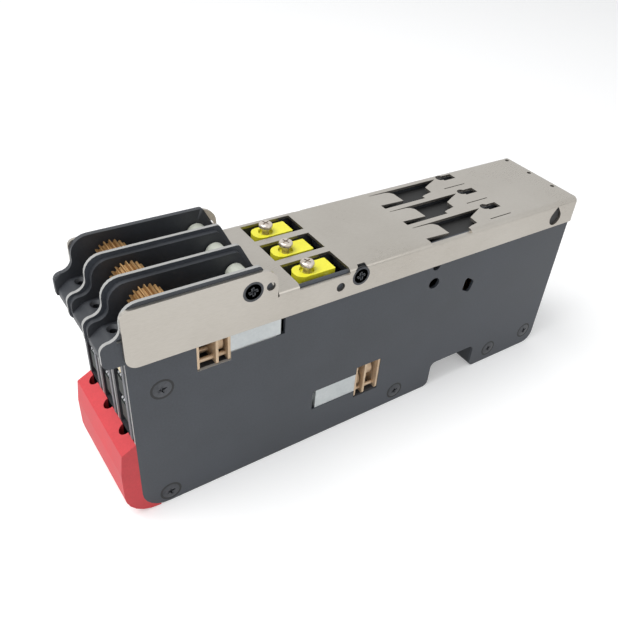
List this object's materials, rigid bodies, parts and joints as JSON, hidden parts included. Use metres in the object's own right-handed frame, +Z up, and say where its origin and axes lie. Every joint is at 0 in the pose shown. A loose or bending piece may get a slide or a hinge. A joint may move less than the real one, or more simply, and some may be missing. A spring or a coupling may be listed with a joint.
{
  "type": "surface-mount tape feeder",
  "caption": "Multi-lane tape feeder cassette: dark plates under a bent steel cover, with brass peel wheels, yellow tension rockers, pick windows and a red rear bumper.",
  "frame": {"origin": "on the base plane, under the middle of the overall length and width", "axes": "+X from the rear bumper to the pick end, +Y across the lanes, +Z up"},
  "size_m": [0.1548, 0.0328, 0.0676],
  "materials": {
    "stainless_sheet": "brushed stainless sheet",
    "dark_plate": "dark satin coating, bare cut edges",
    "liner": "moulded, fine texture",
    "guide_steel": "plain spring steel strip",
    "red_bumper": "moulded red plastic, satin",
    "motor_can": "nickel-plated can",
    "brass_parts": "machined brass",
    "board": "solder-masked laminate with dark housings",
    "lamp": "clear yellow",
    "light_guide": "clear moulded strip",
    "black_screw": "black oxide",
    "bright_steel": "ground steel",
    "black_roller": "turned plastic",
    "pale_roller": "turned acetal",
    "yellow_rocker": "moulded yellow plastic",
    "bright_screw": "bright plated"
  },
  "bodies": {
    "chassis": {"top_cover": "stainless_sheet", "partition_plate_1": "dark_plate", "partition_plate_2": "dark_plate", "partition_plate_3": "dark_plate", "lane_liner_1": "liner", "lane_liner_2": "liner", "lane_liner_3": "liner", "lane_frame_1": "liner", "lane_frame_2": "liner", "lane_frame_3": "liner", "tape_guide_1": "guide_steel", "tape_guide_2": "guide_steel", "tape_guide_3": "guide_steel", "rear_bumper": "red_bumper", "peel_motor_1": "motor_can", "peel_motor_2": "motor_can", "peel_motor_3": "motor_can", "feed_motor_1": "motor_can", "feed_motor_2": "motor_can", "feed_motor_3": "motor_can", "peel_gearboxes": "brass_parts", "feed_gearboxes": "brass_parts", "control_boards": "board", "status_lamps": "lamp", "light_guides": "light_guide", "tie_screws": "black_screw", "roller_axle": "black_screw", "wheel_axles": "bright_steel", "drive_axles": "bright_steel", "rocker_pins": "bright_steel", "rocker_springs": "bright_steel"},
    "peel_wheel_1": {"peel_wheel_1": "brass_parts"},
    "pinch_wheel_1": {"pinch_wheel_1": "brass_parts"},
    "peel_worm_1": {"peel_worm_1": "bright_steel"},
    "guide_roller_1": {"guide_roller_1": "pale_roller"},
    "sprocket_1": {"sprocket_1": "bright_steel"},
    "feed_wheel_1": {"feed_wheel_1": "brass_parts"},
    "feed_worm_1": {"feed_worm_1": "bright_steel"},
    "rocker_1": {"rocker_1": "yellow_rocker", "rocker_screw_1": "bright_screw"},
    "peel_wheel_2": {"peel_wheel_2": "brass_parts"},
    "pinch_wheel_2": {"pinch_wheel_2": "brass_parts"},
    "peel_worm_2": {"peel_worm_2": "bright_steel"},
    "guide_roller_2": {"guide_roller_2": "pale_roller"},
    "sprocket_2": {"sprocket_2": "bright_steel"},
    "feed_wheel_2": {"feed_wheel_2": "brass_parts"},
    "feed_worm_2": {"feed_worm_2": "bright_steel"},
    "rocker_2": {"rocker_2": "yellow_rocker", "rocker_screw_2": "bright_screw"},
    "peel_wheel_3": {"peel_wheel_3": "brass_parts"},
    "pinch_wheel_3": {"pinch_wheel_3": "brass_parts"},
    "peel_worm_3": {"peel_worm_3": "bright_steel"},
    "guide_roller_3": {"guide_roller_3": "pale_roller"},
    "sprocket_3": {"sprocket_3": "bright_steel"},
    "feed_wheel_3": {"feed_wheel_3": "brass_parts"},
    "feed_worm_3": {"feed_worm_3": "bright_steel"},
    "rocker_3": {"rocker_3": "yellow_rocker", "rocker_screw_3": "bright_screw"},
    "base_rollers": {"base_roller_shaft": "bright_steel", "base_rollers": "black_roller"}
  },
  "joints": [
    {"name": "peel_spin_1", "type": "hinge", "parent": "chassis", "child": "peel_wheel_1", "pos_m": [-0.0637, -0.0106, 0.06155], "axis": [0, 1, 0], "continuous": true},
    {"name": "pinch_spin_1", "type": "hinge", "parent": "chassis", "child": "pinch_wheel_1", "pos_m": [-0.0637, -0.0106, 0.05435], "axis": [0, 1, 0], "continuous": true},
    {"name": "peel_worm_spin_1", "type": "hinge", "parent": "chassis", "child": "peel_worm_1", "pos_m": [-0.0637, -0.0106, 0.0484], "axis": [1, 0, 0], "continuous": true},
    {"name": "guide_roller_spin_1", "type": "hinge", "parent": "chassis", "child": "guide_roller_1", "pos_m": [-0.041, -0.0106, 0.0616], "axis": [0, 1, 0], "continuous": true},
    {"name": "rocker_tilt_1", "type": "hinge", "parent": "chassis", "child": "rocker_1", "pos_m": [-0.0172, -0.0106, 0.0562], "axis": [0, 1, 0], "range_deg": [-8, 0], "stiffness_Nm_per_rad": 0.0015, "springref_deg": 8.59},
    {"name": "sprocket_spin_1", "type": "hinge", "parent": "chassis", "child": "sprocket_1", "pos_m": [0.0462, -0.0106, 0.04716], "axis": [0, 1, 0], "continuous": true},
    {"name": "feed_wheel_spin_1", "type": "hinge", "parent": "chassis", "child": "feed_wheel_1", "pos_m": [0.03879, -0.0106, 0.02945], "axis": [0, 1, 0], "continuous": true},
    {"name": "feed_worm_spin_1", "type": "hinge", "parent": "chassis", "child": "feed_worm_1", "pos_m": [0.03879, -0.0106, 0.0155], "axis": [1, 0, 0], "continuous": true},
    {"name": "peel_spin_2", "type": "hinge", "parent": "chassis", "child": "peel_wheel_2", "pos_m": [-0.0637, -0.0002, 0.06155], "axis": [0, 1, 0], "continuous": true},
    {"name": "pinch_spin_2", "type": "hinge", "parent": "chassis", "child": "pinch_wheel_2", "pos_m": [-0.0637, -0.0002, 0.05435], "axis": [0, 1, 0], "continuous": true},
    {"name": "peel_worm_spin_2", "type": "hinge", "parent": "chassis", "child": "peel_worm_2", "pos_m": [-0.0637, -0.0002, 0.0484], "axis": [1, 0, 0], "continuous": true},
    {"name": "guide_roller_spin_2", "type": "hinge", "parent": "chassis", "child": "guide_roller_2", "pos_m": [-0.041, -0.0002, 0.0616], "axis": [0, 1, 0], "continuous": true},
    {"name": "rocker_tilt_2", "type": "hinge", "parent": "chassis", "child": "rocker_2", "pos_m": [-0.0172, -0.0002, 0.0562], "axis": [0, 1, 0], "range_deg": [-8, 0], "stiffness_Nm_per_rad": 0.0015, "springref_deg": 8.59},
    {"name": "sprocket_spin_2", "type": "hinge", "parent": "chassis", "child": "sprocket_2", "pos_m": [0.0462, -0.0002, 0.04716], "axis": [0, 1, 0], "continuous": true},
    {"name": "feed_wheel_spin_2", "type": "hinge", "parent": "chassis", "child": "feed_wheel_2", "pos_m": [0.03879, -0.0002, 0.02945], "axis": [0, 1, 0], "continuous": true},
    {"name": "feed_worm_spin_2", "type": "hinge", "parent": "chassis", "child": "feed_worm_2", "pos_m": [0.03879, -0.0002, 0.0155], "axis": [1, 0, 0], "continuous": true},
    {"name": "peel_spin_3", "type": "hinge", "parent": "chassis", "child": "peel_wheel_3", "pos_m": [-0.0637, 0.0102, 0.06155], "axis": [0, 1, 0], "continuous": true},
    {"name": "pinch_spin_3", "type": "hinge", "parent": "chassis", "child": "pinch_wheel_3", "pos_m": [-0.0637, 0.0102, 0.05435], "axis": [0, 1, 0], "continuous": true},
    {"name": "peel_worm_spin_3", "type": "hinge", "parent": "chassis", "child": "peel_worm_3", "pos_m": [-0.0637, 0.0102, 0.0484], "axis": [1, 0, 0], "continuous": true},
    {"name": "guide_roller_spin_3", "type": "hinge", "parent": "chassis", "child": "guide_roller_3", "pos_m": [-0.041, 0.0102, 0.0616], "axis": [0, 1, 0], "continuous": true},
    {"name": "rocker_tilt_3", "type": "hinge", "parent": "chassis", "child": "rocker_3", "pos_m": [-0.0172, 0.0102, 0.0562], "axis": [0, 1, 0], "range_deg": [-8, 0], "stiffness_Nm_per_rad": 0.0015, "springref_deg": 8.59},
    {"name": "sprocket_spin_3", "type": "hinge", "parent": "chassis", "child": "sprocket_3", "pos_m": [0.0462, 0.0102, 0.04716], "axis": [0, 1, 0], "continuous": true},
    {"name": "feed_wheel_spin_3", "type": "hinge", "parent": "chassis", "child": "feed_wheel_3", "pos_m": [0.03879, 0.0102, 0.02945], "axis": [0, 1, 0], "continuous": true},
    {"name": "feed_worm_spin_3", "type": "hinge", "parent": "chassis", "child": "feed_worm_3", "pos_m": [0.03879, 0.0102, 0.0155], "axis": [1, 0, 0], "continuous": true},
    {"name": "base_roller_spin", "type": "hinge", "parent": "chassis", "child": "base_rollers", "pos_m": [0.0318, 0, 0.0108], "axis": [0, 1, 0], "continuous": true}
  ],
  "couplings": [
    {"joint": "pinch_spin_1", "follows": "peel_spin_1", "ratio": -1.25},
    {"joint": "peel_worm_spin_1", "follows": "peel_spin_1", "ratio": -20},
    {"joint": "feed_wheel_spin_1", "follows": "sprocket_spin_1", "ratio": -0.71429},
    {"joint": "feed_worm_spin_1", "follows": "sprocket_spin_1", "ratio": -40},
    {"joint": "pinch_spin_2", "follows": "peel_spin_2", "ratio": -1.25},
    {"joint": "peel_worm_spin_2", "follows": "peel_spin_2", "ratio": -20},
    {"joint": "feed_wheel_spin_2", "follows": "sprocket_spin_2", "ratio": -0.71429},
    {"joint": "feed_worm_spin_2", "follows": "sprocket_spin_2", "ratio": -40},
    {"joint": "pinch_spin_3", "follows": "peel_spin_3", "ratio": -1.25},
    {"joint": "peel_worm_spin_3", "follows": "peel_spin_3", "ratio": -20},
    {"joint": "feed_wheel_spin_3", "follows": "sprocket_spin_3", "ratio": -0.71429},
    {"joint": "feed_worm_spin_3", "follows": "sprocket_spin_3", "ratio": -40}
  ]
}
